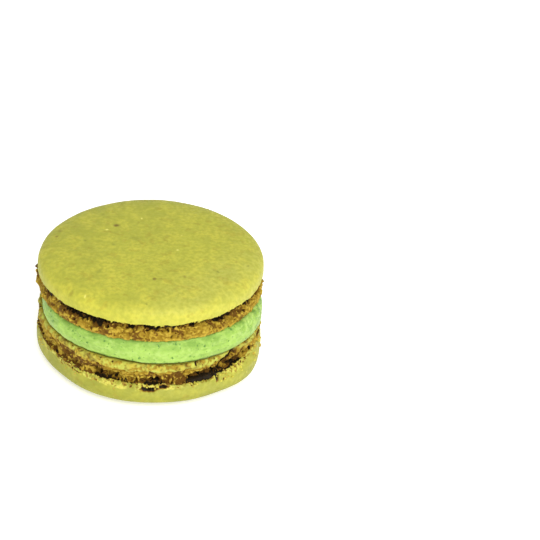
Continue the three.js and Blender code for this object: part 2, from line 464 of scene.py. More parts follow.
def spline(points, count):
    """A uniform Catmull-Rom curve through the points, at evenly spaced parameters."""
    n = len(points)
    t = np.linspace(0, n - 1, count)
    i = np.minimum(t.astype(int), n - 2)
    t = (t - i)[:, None]
    p0, p1 = points[np.maximum(i - 1, 0)], points[i]
    p2, p3 = points[i + 1], points[np.minimum(i + 2, n - 1)]
    v0, v1 = (p2 - p0) / 2, (p3 - p1) / 2
    return (2 * p1 - 2 * p2 + v0 + v1) * t**3 + (3 * p2 - 3 * p1 - 2 * v0 - v1) * t**2 + v0 * t + p1


def evenly(line, count, density=None):
    """The line's columns at count places, evenly spaced along its first two columns, or crowded
    where density, a number at each of its points, is high."""
    step = np.linalg.norm(np.diff(line[:, :2], axis=0), axis=1)
    if density is not None:
        step = step * (density[1:] + density[:-1]) / 2
    run = np.concatenate([[0], np.cumsum(step)])
    at = np.linspace(0, run[-1], count)
    return np.stack([np.interp(at, run, column) for column in line.T], axis=1)


def outward(grid):
    """Unit normals of a grid of points whose rows run downwards and columns anticlockwise."""
    down = np.gradient(grid, axis=0)
    round_ = np.roll(grid, -1, axis=1) - np.roll(grid, 1, axis=1)
    normal = np.cross(down, round_)
    return normal / np.maximum(np.linalg.norm(normal, axis=-1, keepdims=True), 1e-12)


def around(r, z, angles):
    """The grid (r cos angle, r sin angle, z) for r and z given over rows, or over rows and columns."""
    r, z = np.broadcast_arrays(r, z)
    if r.ndim == 1:
        r, z = r[:, None], z[:, None]
    return np.stack(np.broadcast_arrays(r * np.cos(angles), r * np.sin(angles), z), axis=-1)


def ring_faces(rows, columns):
    """The numbers of a grid's points, those of the next column, and the faces between the rows."""
    index = np.arange(rows * columns).reshape(rows, columns)
    beside = np.roll(index, -1, axis=1)
    faces = np.stack([index[:-1], index[1:], beside[1:], beside[:-1]], axis=-1).reshape(-1, 4)
    return index, beside, faces


def closed_mesh(name, grid, masks, flipped=False):
    """A closed mesh from grid[row, column]. The first and last rows are closed by a pole each. Rows
    run downwards, or upwards where flipped, so that the faces point outwards. masks are named
    numbers on the same grid, kept as attributes of the vertices."""
    if flipped:
        grid = grid[::-1]
        masks = {key: value[::-1] for key, value in masks.items()}
    rows, columns = grid.shape[:2]
    top, bottom = rows * columns, rows * columns + 1
    index, beside, quads = ring_faces(rows, columns)
    first = np.stack([np.full(columns, top), index[0], beside[0]], axis=-1)
    last = np.stack([np.full(columns, bottom), beside[-1], index[-1]], axis=-1)
    points = np.concatenate([grid.reshape(-1, 3), [grid[0].mean(0), grid[-1].mean(0)]])
    mesh = bpy.data.meshes.new(name)
    mesh.from_pydata(points, [], quads.tolist() + first.tolist() + last.tolist())
    mesh.shade_smooth()
    for key, value in masks.items():
        value = np.broadcast_to(value, (rows, columns))
        values = np.concatenate([value.ravel(), [value[0].mean(), value[-1].mean()]])
        layer = mesh.attributes.new(key, "FLOAT", "POINT")
        layer.data.foreach_set("value", values.astype(np.float32))
    return show(name, mesh)


def show(name, mesh):
    """Puts a mesh into the scene."""
    piece = bpy.data.objects.new(name, mesh)
    bpy.context.scene.collection.objects.link(piece)
    return piece


def declare(piece, node, material):
    """The piece rides on the body, stands for its CAD node and takes its finish."""
    piece.data.materials.clear()
    piece.data.materials.append(material)
    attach(piece, "root")
    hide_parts(node)
    return piece


# Shells.


def lower_shell():
    """The lower shell's sizes, with the marks that make it this one."""
    return shell_with(bpy.context.scene.lower_shell, LOWER_MARKS, upside_down=True)


def upper_shell():
    """The upper shell's sizes and marks."""
    return shell_with(bpy.context.scene.upper_shell, UPPER_MARKS, upside_down=False)


def shell_with(settings, marks, upside_down):
    """Sizes and marks in one record, with the shell's height."""
    sizes = {key: getattr(settings, key) for key in settings.__annotations__}
    height = sizes["foot"] + sizes["curl"] + sizes["dome"]
    return SimpleNamespace(**sizes, **vars(marks), height=height, upside_down=upside_down)


def placed(shell, grid):
    """Heights over a shell's base become heights over the floor. The lower shell is upside down. The
    upper one is leaned about Y and then X, and lies on the cream."""
    if shell.upside_down:
        return grid * (1, 1, -1) + (0, 0, shell.height)
    cream = bpy.context.scene.cream
    about_x, about_y = cream.upper_lean
    lean = Matrix.Rotation(about_x, 3, "X") @ Matrix.Rotation(about_y, 3, "Y")
    lift = bpy.context.scene.lower_shell
    z = lift.foot + lift.curl + lift.dome + cream.thick
    return grid @ np.array(lean).T + (cream.upper_shift, 0, z)


def skin_section(shell, rows):
    """Rows of (r, z, d) from the dome's middle to its edge and back inside to the middle. The dome is
    r = R cos^(2/n) a, z = H sin^(2/n) a, the curl is a quarter of an ellipse, and d is how far the
    row is from the edge along the section, below 0 inside."""
    a = np.linspace(math.pi / 2, 0, 6000)
    power = 2 / shell.squareness
    widest = shell.foot + shell.curl
    dome = np.stack([shell.radius * np.cos(a) ** power, widest + shell.dome * np.sin(a) ** power], 1)
    b = np.linspace(0, math.pi / 2, 200)[1:]
    curl_r = shell.radius - TUCK * (1 - np.cos(b))
    curl = np.stack([curl_r, widest - shell.curl * np.sin(b)], axis=1)
    seen = np.concatenate([dome, curl])
    seen[:, 1] = np.minimum(seen[:, 1], shell.height)
    run = np.concatenate([[0], np.cumsum(np.linalg.norm(np.diff(seen, axis=0), axis=1))])
    seen = np.concatenate([seen, (run[-1] - run)[:, None]], axis=1)
    crowd = 1 + 4 * np.exp(-seen[:, 2] / (2 * MM))
    seen = evenly(seen, rows, crowd)[1:]
    r, z = shell.radius - TUCK, shell.foot
    inside = np.array(
        [
            (r - 0.12 * MM, z + 0.03 * MM, -0.12 * MM),
            (r - 0.3 * MM, z + 0.08 * MM, -0.35 * MM),
            (r - 0.6 * MM, z + 0.12 * MM, -0.8 * MM),
            (r - 1.1 * MM, z + 0.16 * MM, -1.4 * MM),
            (r - 2.2 * MM, z + 0.3 * MM, -2.5 * MM),
            (r - 6 * MM, z + 0.5 * MM, -6 * MM),
        ]
    )
    return np.concatenate([seen, inside])


def skin_grid(shell, rows=86, columns=1050):
    """The skin: the turned section, with slow swells, grains of almond, and an edge that is torn and
    bubbled. Returns the points over the shell's own base, and the masks torn (the fringe), hollow
    (painted shade in its pits and the cracks), shoulder, baked (painted shade towards the back, the
    left and, on the lower shell, the floor, and painted light towards the front right), brown, green
    and bright (the spots)."""
    angles = all_round(columns)
    r, z, d = skin_section(shell, rows).T
    seed = shell.seed
    # The swells of the dome die away over its curled edge.
    swell = swell_at(shell.swells, angles) * np.clip(d / shell.curl, 0, 1)[:, None]
    out = (wave_at(shell.waves, angles) + swell) * (r[:, None] / shell.radius) ** 2
    grid = around(r[:, None] + out, z[:, None], angles)

    # The edge wanders, is bitten by chips and crumbles.
    rim = rim_points(shell, angles)
    ragged = smooth_noise(rim, 1.9 * MM, seed) + 0.7 * smooth_noise(rim, 0.75 * MM, seed + 1)
    ragged += 0.6 * smooth_noise(rim, 0.38 * MM, seed + 2)
    chips = dimples(rim, 2.6 * MM, seed + 3, 0.45, 1.1, 0.12, 0.34)
    edge = edge_height(shell, angles) + shell.ragged * (ragged - chips)
    pull = 1 - rise(np.abs(d), 0, 1.5 * MM)
    grid[..., 2] += pull[:, None] * edge

    normal = outward(grid)
    flat = rise(r, shell.flat_spot, shell.flat_spot + 4 * MM)[:, None] if shell.flat_spot else 1.0
    roll = 0.1 * smooth_noise(grid, 8 * MM, seed + 4) + 0.03 * smooth_noise(grid, 2.5 * MM, seed + 5)
    roll += 0.012 * smooth_noise(grid, 0.8 * MM, seed + 6)
    grains = -dimples(grid, 3.1 * MM, seed + 7, 0.3, 0.07, 0.02, 0.12)
    # The fringe is widest at the front.
    wide = np.maximum(near_angle(angles, -97, 42), rise(smooth_noise(rim, 7 * MM, seed + 10), 0.0, 0.7))
    wide = shell.fringe[0] + (shell.fringe[1] - shell.fringe[0]) * wide
    wide = MM * wide * (1 + 0.3 * smooth_noise(rim, 1.3 * MM, seed + 12))
    torn = 1 - rise(np.maximum(d, 0)[:, None] / wide, 0.75, 1.15)
    bent = warped(grid, 1.0 * MM, 0.35 * MM, seed + 8)
    bubbles = bumps(bent, 0.8 * MM, seed + 9, 0.28, 0.42)
    bubbles += 0.14 * smooth_noise(bent, 0.45 * MM, seed + 13)
    pits = dimples(bent, 0.7 * MM, seed + 14, 0.4, 0.3, 0.1, 0.4)
    bubbles = (bubbles + pits) * torn * min(1, shell.ragged / (0.25 * MM))
    cracked = 0
    for crack in shell.cracks:
        along = turned_from(angles, math.radians(crack.angle)) * shell.radius / (crack.half * MM)
        bend = 0.45 * smooth_noise(rim, 0.9 * MM, seed + 15)
        across = (d[:, None] / MM - crack.down + bend) / crack.high
        uneven = 1 + 0.6 * smooth_noise(rim, 0.5 * MM, seed + 16)
        cracked = cracked + crack.depth * uneven * np.exp(-(along**4) - across**4)
    outside = (d > -0.2 * MM)[:, None]
    relief = MM * ((roll + grains) * flat + bubbles - cracked) * outside
    grid = grid + normal * relief[..., None]
    grid[..., 2] = np.minimum(grid[..., 2], shell.height)

    # Painted shade in the pits of the torn edge, in the cracks and on the inside under the curl; the
    # crumb shows browner there.
    hollow = np.clip(0.3 - 1.6 * bubbles, 0, 1) * torn + 1.6 * cracked + (d < 0)[:, None] * 1.0
    # Painted shade and light: baked is darker towards the back and the left, lighter towards the front
    # right where the key light falls, and on the lower shell darker towards the floor.
    floorward_shade = 0.8 * rise(d, 2.2 * MM, 7 * MM)[:, None] if shell.upside_down else 0
    masks = {
        "torn": torn,
        "hollow": np.clip(hollow, 0, 1.2),
        "shoulder": np.exp(-((d / (4 * MM)) ** 2))[:, None],
        "baked": 0.5 - 0.5 * (grid[..., 0] * 0.75 - grid[..., 1] * 0.66) / shell.radius + floorward_shade,
    }
    wobble = warped(grid, 1.1 * MM, 0.25 * MM, seed + 11) / MM
    for key, spots in shell.spots.items():
        mask = np.zeros(grid.shape[:2])
        for x, y, wide, deep, strength in spots:
            away = np.hypot((wobble[..., 0] - x) / wide, (wobble[..., 1] - y) / deep)
            mask = np.maximum(mask, strength * (1 - rise(away, 0.35, 1.3)))
        masks[key] = mask * (d > 0)[:, None]
    return grid, masks


def foot_section(shell, rows):
    """Rows of (out, down, share): how far a row of the foot's side stands out past the widest line,
    how far it is below the foot's top, and its share of the height."""
    share, out = spline(FOOT_SECTION, 2000).T
    side = evenly(np.stack([out * MM, share * shell.foot, share], axis=1), rows)
    hidden = np.array([(-3.4 * MM, -0.3), (-2.6 * MM, -0.16), (-1.6 * MM, -0.06)])
    hidden = np.stack([hidden[:, 0], hidden[:, 1] * shell.foot, hidden[:, 1]], axis=1)
    return np.concatenate([hidden, side])


def foot_grid(shell, rows=54, ledge_rows=9, columns=1400):
    """The foot: its side is the turned section with crags and tears, then bubbles, ridges and holes
    pushed along its normals. The base is a flat shelf that runs in under the cream. Returns the
    points and the masks hollow (painted shade in the crevice, the tears and the dips, lighter on the
    crags and pleats), band (share of the height, wandering), lip and shelf."""
    angles = all_round(columns)
    out, down, share = foot_section(shell, rows).T
    seed = shell.seed
    inset = np.linspace(0.25, 3.2, ledge_rows) * MM
    inset = np.append(inset, 8 * MM)
    out = np.append(out, out[-1] - inset)
    down = np.append(down, np.full(len(inset), shell.foot))
    on_shelf = np.arange(len(share), len(out))
    share = np.append(share, np.ones(len(inset)))
    shelf = np.zeros(len(out))
    shelf[on_shelf] = 1

    rim = rim_points(shell, angles)
    side = (1 - shelf)[:, None]
    fade_in = np.clip(1 + share / 0.16, 0, 1)[:, None] * side
    crags = crag_relief(shell, share, angles) * fade_in
    tears = tear_depth(shell, shell.tears, share, angles) * fade_in
    gashes = tear_depth(shell, shell.gashes, share, angles) * fade_in
    # A crevice runs round under the dome's edge, with a ragged brim. It is open in some places and
    # filled by crags in others.
    opened = smooth_noise(rim, 4.2 * MM, seed + 20) + 0.5 * smooth_noise(rim, 1.6 * MM, seed + 21)
    opened = np.maximum(rise(opened, *shell.open), np.minimum(1, tears.max(0) / (0.5 * MM)))
    brim = shell.crevice * (0.3 + 0.7 * opened) + 0.05 * smooth_noise(rim, 0.9 * MM, seed + 23)
    brim = brim + 0.035 * smooth_noise(rim, 0.4 * MM, seed + 24)
    s = share[:, None]
    within = (1 - rise(s, brim - 0.06, brim + 0.07)) * side
    # Crags stand in the groove where the crevice is shut.
    filled = (1 - opened) * np.exp(-(((s - 0.17) / 0.14) ** 2)) * side * shell.filling
    groove = within * (0.75 * opened - 0.3) * MM - 0.65 * MM * filled + gashes
    r = shell.radius + wave_at(shell.waves, angles) + out[:, None] + crags - tears - groove
    z = (shell.foot - down)[:, None] + np.zeros_like(r)
    z += edge_height(shell, angles) * np.clip(1 - 2 * np.maximum(s, 0), 0, 1)
    z += r * np.cos(angles) * math.tan(shell.base_lean) * np.clip(s, 0, 1)
    grid = around(r, z, angles)

    normal = outward(grid)
    bent = warped(grid, 1.6 * MM, 0.6 * MM, seed + 22)
    bent = warped(bent, 0.6 * MM, 0.15 * MM, seed + 33)
    # Lumps are longer round the foot than they are high.
    lumps = bumps(bent * (1, 1, 1.4), 1.9 * MM, seed + 25, 0.75)
    folds = 0.3 * (0.25 - np.abs(smooth_noise(bent, 1.5 * MM, seed + 27)))
    folds += 0.14 * (0.25 - np.abs(smooth_noise(bent, 0.6 * MM, seed + 34)))
    bubbles = bumps(bent, 0.75 * MM, seed + 26, 0.16, 0.5)
    holes = dimples(bent, 1.6 * MM, seed + 28, 0.42, 0.9, 0.08, 0.36)
    pores = dimples(bent, 0.62 * MM, seed + 29, 0.45, 0.26, 0.1, 0.42)
    # Knobs of crumb stand in the groove.
    knobs = bumps(bent, 1.05 * MM, seed + 41, 0.75, 0.4)
    knobs += 0.22 * smooth_noise(bent, 0.45 * MM, seed + 42)
    knobs = knobs * (1 - rise(s, 0.35, 0.6))
    # The lip is smoother, with faint pleats and small bites. Where it starts wanders.
    start = shell.lip[1] + (shell.lip[0] - shell.lip[1]) * near_angle(angles, -80, 45)
    wander = 0.1 * smooth_noise(rim, 3.5 * MM, seed + 30)
    wander += 0.07 * smooth_noise(rim, 1.1 * MM, seed + 35)
    lip = rise(s + wander, start - 0.06, start + 0.1)
    bites = dimples(warped(rim, 2 * MM, 0.6 * MM, seed + 37), 1.3 * MM, seed + 40, 0.5, 0.35, 0.1, 0.4)
    bites = bites * rise(s, 0.82, 0.94)
    rough = 1 - 0.6 * lip
    pleats = 0.09 * smooth_noise(grid * (1, 1, 0.3), 0.8 * MM, seed + 36)
    pleats = (pleats + 0.06 * smooth_noise(bent, 0.5 * MM, seed + 38) + bites) * lip * side
    fine = (lumps + folds + bubbles + holes + pores + knobs - 0.12) * rough + pleats
    fine += 0.035 * smooth_noise(grid, 0.45 * MM, seed + 31)
    fine += shelf[:, None] * 0.05 * smooth_noise(grid, 1.5 * MM, seed + 32)
    fine = fine * (fade_in + shelf[:, None] * 0.3)
    grid = grid + normal * (fine * MM)[..., None]
    # The hollow mask is painted shade: darker in the crevice as dark sets, in the tears and gashes and
    # in the dips of the relief, and lighter on the crags, where crags fill the groove and on the lip's
    # pleats.
    cavity = softened(fine, 10) - fine
    hollow = 0.28 - 0.4 * fine + 1.1 * cavity - 0.12 * crags / MM + 0.32 * (tears / MM) ** 2
    hollow = hollow + within * (shell.dark[0] + shell.dark[1] * opened) - 1.8 * pleats
    hollow = hollow - 0.26 * filled + 0.9 * np.minimum(gashes / MM, 1)
    return grid, {
        "hollow": np.clip(hollow * side, 0, 1.5),
        "band": np.clip(s + wander, 0, 1.2),
        "lip": lip * side,
        "shelf": np.broadcast_to(shelf[:, None], hollow.shape),
    }


# Cream.


def cream_grid(rows=66, columns=1080):
    """The cream: flat faces and a side r = R - b (1 - cos^f a), z = thickness (1 + sin a) / 2 for a
    from the top to the bottom, with folds that run round it, lumps and small holes."""
    size = bpy.context.scene.cream
    lower, upper = bpy.context.scene.lower_shell, size.upper_lean
    angles = all_round(columns)
    a = np.linspace(math.pi / 2, -math.pi / 2, 4000)
    undercut = size.fullness + 0.12 * rise(-np.sin(a), 0.2, 1)
    side = np.maximum(np.cos(a), 0) ** undercut
    line = np.stack([size.radius - size.bulge * (1 - side), size.thick * (0.5 + 0.5 * np.sin(a))], 1)
    line = evenly(line, rows)
    share = line[:, 1] / size.thick
    r = line[:, 0]
    inner = [size.radius - size.bulge - 1.2 * MM, size.radius - size.bulge - 6 * MM]
    r = np.concatenate([inner[::-1], r, inner])
    share = np.concatenate([[1, 1], share, [0, 0]])
    side = np.concatenate([[0, 0], np.ones(len(line)), [0, 0]])[:, None]
    # The swells are weaker towards the bottom.
    swell = swell_at(CREAM_SWELLS, angles) * (0.4 + 0.6 * rise(share, 0, 0.5))[:, None]
    ring = r[:, None] + wave_at(CREAM_WAVES, angles) + swell
    x = size.shift[0] + ring * np.cos(angles)
    y = size.shift[1] + ring * np.sin(angles)
    under = -x * math.tan(lower.base_lean)
    lean = y * math.tan(upper[0]) - (x - size.upper_shift) * math.tan(upper[1])
    over = size.thick + lean
    grid = np.stack([x, y, under + share[:, None] * (over - under)], axis=-1)

    normal = outward(grid)
    long = grid * (0.16, 0.16, 1)
    folds = 0.16 * smooth_noise(long, 1.1 * MM, 61)
    folds += 0.07 * smooth_noise(long * (1.6, 1.6, 1), 0.5 * MM, 62)
    lumps = 0.1 * smooth_noise(grid, 3.2 * MM, 63) + 0.08 * smooth_noise(grid, 1.1 * MM, 64)
    lumps += 0.045 * smooth_noise(grid, 0.5 * MM, 65)
    holes = dimples(warped(grid, 1 * MM, 0.2 * MM, 66), 1.2 * MM, 69, 0.35, 0.2, 0.06, 0.24)
    # The cream is dragged and rough on the right, towards the upper shell.
    dragged = near_angle(angles, -22, 22) * rise(share, 0.25, 0.75)[:, None]
    near = cell_noise(warped(grid, 1.5 * MM, 0.5 * MM, 70), 1.2 * MM, 73)[0]
    drag = dragged * (0.25 * (0.45 - near) + 0.12 * smooth_noise(grid, 0.8 * MM, 74))
    relief = (folds + lumps + holes + drag) * side
    grid = grid + normal * (relief * MM)[..., None]
    grid[..., 2] += lower.foot + lower.curl + lower.dome
    height = np.broadcast_to(share[:, None], relief.shape)
    # The hollow mask is painted shade in the dips of the relief and painted light on its bumps.
    return grid, {"hollow": np.clip(0.5 - 2.2 * relief, 0, 1), "height": height, "dragged": dragged}


# Crumbs.


def crumb_shape():
    """A round lump of radius 1: a twenty-sided solid divided once, as 42 points and 80 faces."""
    lump = bmesh.new()
    bmesh.ops.create_icosphere(lump, subdivisions=2, radius=1)
    points = np.array([v.co for v in lump.verts])
    faces = np.array([[v.index for v in f.verts] for f in lump.faces])
    lump.free()
    return points, faces


def strewn_crumbs(name, centres, radii, seed):
    """One mesh of small lumps at the centres: each is the round lump, pushed in and out by noise of
    its own, squashed and turned."""
    points, faces = crumb_shape()
    rng = np.random.default_rng(seed)
    count = len(centres)
    squash = rng.uniform(0.45, 1.2, (count, 1, 3))
    turn = np.linalg.qr(rng.normal(size=(count, 3, 3)))[0]
    turn *= np.sign(np.linalg.det(turn))[:, None, None]
    offset = rng.uniform(0, 50, (count, 1, 3))
    dents = 1 + 0.75 * smooth_noise(points[None] + offset, 0.7, seed)[..., None]
    lumps = np.einsum("nij,npj->npi", turn, points[None] * squash * dents)
    lumps = lumps * radii[:, None, None] + centres[:, None, :]
    index = faces[None] + (np.arange(count) * len(points))[:, None, None]
    mesh = bpy.data.meshes.new(name)
    mesh.from_pydata(lumps.reshape(-1, 3), [], index.reshape(-1, 3).tolist())
    tone = np.repeat(rng.uniform(0, 1, count), len(points))
    mesh.attributes.new("tone", "FLOAT", "POINT").data.foreach_set("value", tone.astype(np.float32))
    return show(name, mesh)


def crumb_places(shell, grid, rows, count, seed):
    """Points of the grid's given rows for crumbs to sit on, in clumps round the shell."""
    rng = np.random.default_rng(seed)
    columns = grid.shape[1]
    angles = all_round(columns)
    rim = rim_points(shell, angles)
    chance = rise(smooth_noise(rim, 3 * MM, seed), -0.3, 0.6) + 0.02
    column = rng.choice(columns, count, p=chance / chance.sum())
    return grid[rng.choice(rows, count), column]


# Node trees.


class Nodes:
    """A node tree in the making. A value is a number or a colour, or the socket that gives it."""

    def __init__(self, tree):
        self.tree = tree

    def feed(self, socket, value):
        """Joins a value to an input."""
        if isinstance(value, bpy.types.NodeSocket):
            self.tree.links.new(value, socket)
        else:
            socket.default_value = value

    def add(self, kind, inputs=None, **settings):
        """Adds a node, with its inputs by name or index."""
        made = self.tree.nodes.new(kind)
        for key, value in settings.items():
            setattr(made, key, value)
        for key, value in (inputs or {}).items():
            self.feed(made.inputs[key], value)
        return made

    def maths(self, operation, *values):
        """The result of a Math node."""
        return self.add("ShaderNodeMath", dict(enumerate(values)), operation=operation).outputs[0]

    def times(self, a, b):
        """a times b."""
        return self.maths("MULTIPLY", a, b)

    def plus(self, a, b):
        """a plus b."""
        return self.maths("ADD", a, b)

    def vector(self, operation, inputs):
        """The result of a Vector Math node."""
        return self.add("ShaderNodeVectorMath", inputs, operation=operation).outputs[0]

    def stretch(self, value, low, high, to_low=0.0, to_high=1.0):
        """value from low to high becomes to_low to to_high, smoothly and clamped."""
        inputs = {0: value, 1: low, 2: high, 3: to_low, 4: to_high}
        return self.add("ShaderNodeMapRange", inputs, interpolation_type="SMOOTHSTEP").outputs[0]

    def mixed(self, share, a, b):
        """Colour a, turning to colour b with share."""
        inputs = {0: share, 6: opaque(a), 7: opaque(b)}
        return self.add("ShaderNodeMix", inputs, data_type="RGBA").outputs[2]


def opaque(value):
    """A colour with its alpha, or the socket as it is."""
    return value if isinstance(value, bpy.types.NodeSocket) else (*tuple(value)[:3], 1.0)


def group(name, inputs, output):
    """An empty node group with float inputs by name, a Vector input and one float output. Returns
    the group, its inputs and a function that joins a socket to the output."""
    tree = bpy.data.node_groups.new(name, "ShaderNodeTree")
    tree.interface.new_socket("Vector", in_out="INPUT", socket_type="NodeSocketVector")
    for key, value in inputs.items():
        socket = tree.interface.new_socket(key, in_out="INPUT", socket_type="NodeSocketFloat")
        socket.default_value = value
    tree.interface.new_socket(output, in_out="OUTPUT", socket_type="NodeSocketFloat")
    start = tree.nodes.new("NodeGroupInput")
    end = tree.nodes.new("NodeGroupOutput")
    return Nodes(tree), start.outputs, lambda socket: tree.links.new(socket, end.inputs[0])


def mottle_group():
    """Mottle: cloudy noise of a size, spread so that it fills 0 to 1."""
    n, given, give = group("Mottle", {"Size": 0.005, "Detail": 3.0, "Contrast": 1.0}, "Mask")
    scale = n.maths("DIVIDE", 1.0, given["Size"])
    inputs = {"Vector": given["Vector"], "Scale": scale, "Detail": given["Detail"], "Roughness": 0.55}
    noise = n.add("ShaderNodeTexNoise", inputs).outputs[0]
    spread = n.times(n.maths("SUBTRACT", noise, 0.5), given["Contrast"])
    give(n.add("ShaderNodeClamp", {0: n.plus(spread, 0.5)}).outputs[0])
    return n.tree


def specks_group():
    """Specks: small blots strewn through space, of a size and at a spacing. Share is how many of the
    places have one."""
    n, given, give = group("Specks", {"Spacing": 0.004, "Size": 0.0004, "Share": 0.3}, "Mask")
    noise = {"Vector": given["Vector"], "Scale": 2200.0, "Detail": 1.0}
    bend = n.add("ShaderNodeTexNoise", noise).outputs[1]
    bend = n.vector("SCALE", {0: n.vector("SUBTRACT", {0: bend, 1: (0.5, 0.5, 0.5)}), 3: 0.0006})
    at = n.vector("ADD", {0: given["Vector"], 1: bend})
    scale = n.maths("DIVIDE", 1.0, given["Spacing"])
    cells = n.add("ShaderNodeTexVoronoi", {"Vector": at, "Scale": scale})
    near = n.maths("DIVIDE", n.times(cells.outputs[0], given["Spacing"]), given["Size"])
    own = n.add("ShaderNodeSeparateColor", {0: cells.outputs[1]}).outputs[0]
    chosen = n.maths("LESS_THAN", own, given["Share"])
    give(n.times(n.stretch(near, 0.55, 1.1, 1.0, 0.0), chosen))
    return n.tree


def grain_group():
    """Grain: a fine uneven height of a size, noise with shallow pores in it."""
    n, given, give = group("Grain", {"Size": 0.0005, "Pores": 0.5}, "Height")
    scale = n.maths("DIVIDE", 1.0, given["Size"])
    noise = n.add("ShaderNodeTexNoise", {"Vector": given["Vector"], "Scale": scale, "Detail": 3.0})
    cells = n.add("ShaderNodeTexVoronoi", {"Vector": given["Vector"], "Scale": scale})
    pores = n.stretch(cells.outputs[0], 0.1, 0.45, -1.0, 0.0)
    give(n.plus(noise.outputs[0], n.times(pores, given["Pores"])))
    return n.tree


def shared_group(name):
    """The shared node group of that name, built on first use."""
    makers = {"Mottle": mottle_group, "Specks": specks_group, "Grain": grain_group}
    return bpy.data.node_groups.get(name) or makers[name]()


class Finish(Nodes):
    """A material in the making, with a Principled shader. Its tint starts as a colour, and further
    colours are laid over it."""

    def __init__(self, name, tint):
        self.material = bpy.data.materials.new(name)
        self.material.use_nodes = True
        super().__init__(self.material.node_tree)
        self.shader = self.tree.nodes["Principled BSDF"].inputs
        self.place = self.add("ShaderNodeTexCoord").outputs["Object"]
        self.tint = tint

    def mask(self, name):
        """A mask that is kept on the mesh."""
        return self.add("ShaderNodeAttribute", attribute_name=name).outputs["Fac"]

    def use(self, name, inputs):
        """Places a shared node group with values of its own."""
        inputs = {"Vector": self.place, **inputs}
        return self.add("ShaderNodeGroup", inputs, node_tree=shared_group(name)).outputs[0]

    def mottle(self, size, detail, contrast, **where):
        """Cloudy noise of a size, from 0 to 1."""
        return self.use("Mottle", {"Size": size, "Detail": detail, "Contrast": contrast, **where})

    def specks(self, spacing, size, share):
        """Small blots of a size, at a share of the places of a spacing."""
        return self.use("Specks", {"Spacing": spacing, "Size": size, "Share": share})

    def cover(self, colour, share):
        """Turns the tint to a colour by a share."""
        self.tint = self.mixed(share, self.tint, colour)

    def lay(self, colour, mask, low, high, to_low=0.0, to_high=1.0):
        """Turns the tint to a colour as a mask goes from low to high."""
        self.cover(colour, self.stretch(mask, low, high, to_low, to_high))

    def finish(self, rough, specular, under=None, grain=None):
        """Joins it all to the shader and returns the material. under is weight, radius and scale of
        the light that goes a little way in, and grain is size, pores and height of a fine bump."""
        self.feed(self.shader["Base Color"], self.tint)
        self.feed(self.shader["Roughness"], rough)
        self.feed(self.shader["Specular IOR Level"], specular)
        for key, value in zip(("Weight", "Radius", "Scale"), under or ()):
            self.feed(self.shader[f"Subsurface {key}"], value)
        if grain:
            size, pores, height = grain
            inputs = {"Height": self.use("Grain", {"Size": size, "Pores": pores}), "Distance": height}
            bump = self.add("ShaderNodeBump", {**inputs, "Strength": 1.0})
            self.feed(self.shader["Normal"], bump.outputs[0])
        return self.material


def skin_material(name, shadowed):
    """Matt baked skin: olive with cloudy yellow and green drifts, darker and brighter spots, and a
    pale crumbly torn edge, with painted shade towards the back and the left and painted light towards
    the front right. dull is how much painted shade lies over the whole skin, as on the lower shell."""
    c = bpy.context.scene.macaron_colours
    m = Finish(name, c.skin)
    middle, fine = m.mottle(0.0032, 3.0, 2.2), m.mottle(0.0008, 3.0, 2.6)
    m.lay(c.skin_dull_and_shade, m.mottle(0.011, 2.0, 2.4), 0.0, 1.0, 0.5 + shadowed, shadowed)
    # Painted shade towards the back, the left and the floor, and painted light towards the front right,
    # both by the baked mask.
    baked = m.mask("baked")
    m.lay(c.skin_dull_and_shade, baked, 0.4, 0.95, 0.0, 0.65)
    m.lay(c.skin_lit_side, baked, 0.35, 0.05, 0.0, 0.5)
    m.lay(c.skin_pale, middle, 0.2, 1.0, 0.0, 0.5)
    m.lay(c.skin_dull_and_shade, fine, 0.0, 0.9, 0.6, 0.0)
    # Painted shade over the whole lower skin.
    m.cover(c.skin_shade, 0.4 * shadowed)
    shoulder = m.stretch(m.mask("shoulder"), 0.0, 1.0, 0.0, 0.3 * (1 - shadowed))
    m.cover(c.skin_pale, m.times(shoulder, m.stretch(middle, 0.1, 0.6, 0.6, 1.0)))
    m.lay(c.crumb, m.mottle(0.0021, 2.0, 3.0), 0.75, 1.0, 0.0, 0.2)
    bright = m.maths("MAXIMUM", m.times(m.specks(0.0065, 0.00024, 0.2), 0.5), m.mask("bright"))
    m.cover(c.bright_spot, m.times(bright, 0.85))
    green = m.maths("MAXIMUM", m.times(m.specks(0.0045, 0.00026, 0.3), 0.35), m.mask("green"))
    m.cover(c.green_spot, m.times(green, 0.75))
    m.cover(c.brown_spot, m.times(m.mask("brown"), 0.85))
    crumbly = m.mottle(0.0009, 3.0, 3.0)
    fringe = m.mixed(m.stretch(crumbly, 0.2, 0.8), c.fringe, c.lower_lip)
    fringe = m.mixed(m.stretch(crumbly, 0.6, 0.9, 0.0, 0.85), fringe, c.crumb)
    patchy = m.stretch(m.mottle(0.0018, 2.0, 3.0), 0.15, 0.85, 0.1, 1.0)
    m.lay(fringe, m.times(m.mask("torn"), patchy), 0.1, 0.7, 0.0, 0.9)
    # Painted shade in the pits and cracks: browner crumb, then reddish brown, then near black.
    hollow = m.plus(m.mask("hollow"), m.stretch(crumbly, 0.0, 1.0, -0.08, 0.12))
    m.lay(c.crumb, hollow, 0.36, 0.56)
    m.lay(c.rust, hollow, 0.5, 0.8)
    m.lay(c.hollow, hollow, 0.7, 1.0)
    rough = m.stretch(fine, 0.0, 1.0, 0.66, 0.54)
    return m.finish(rough, 0.25, (0.1, (1.0, 0.7, 0.25), 0.0008), (0.0006, 0.25, 0.00006))


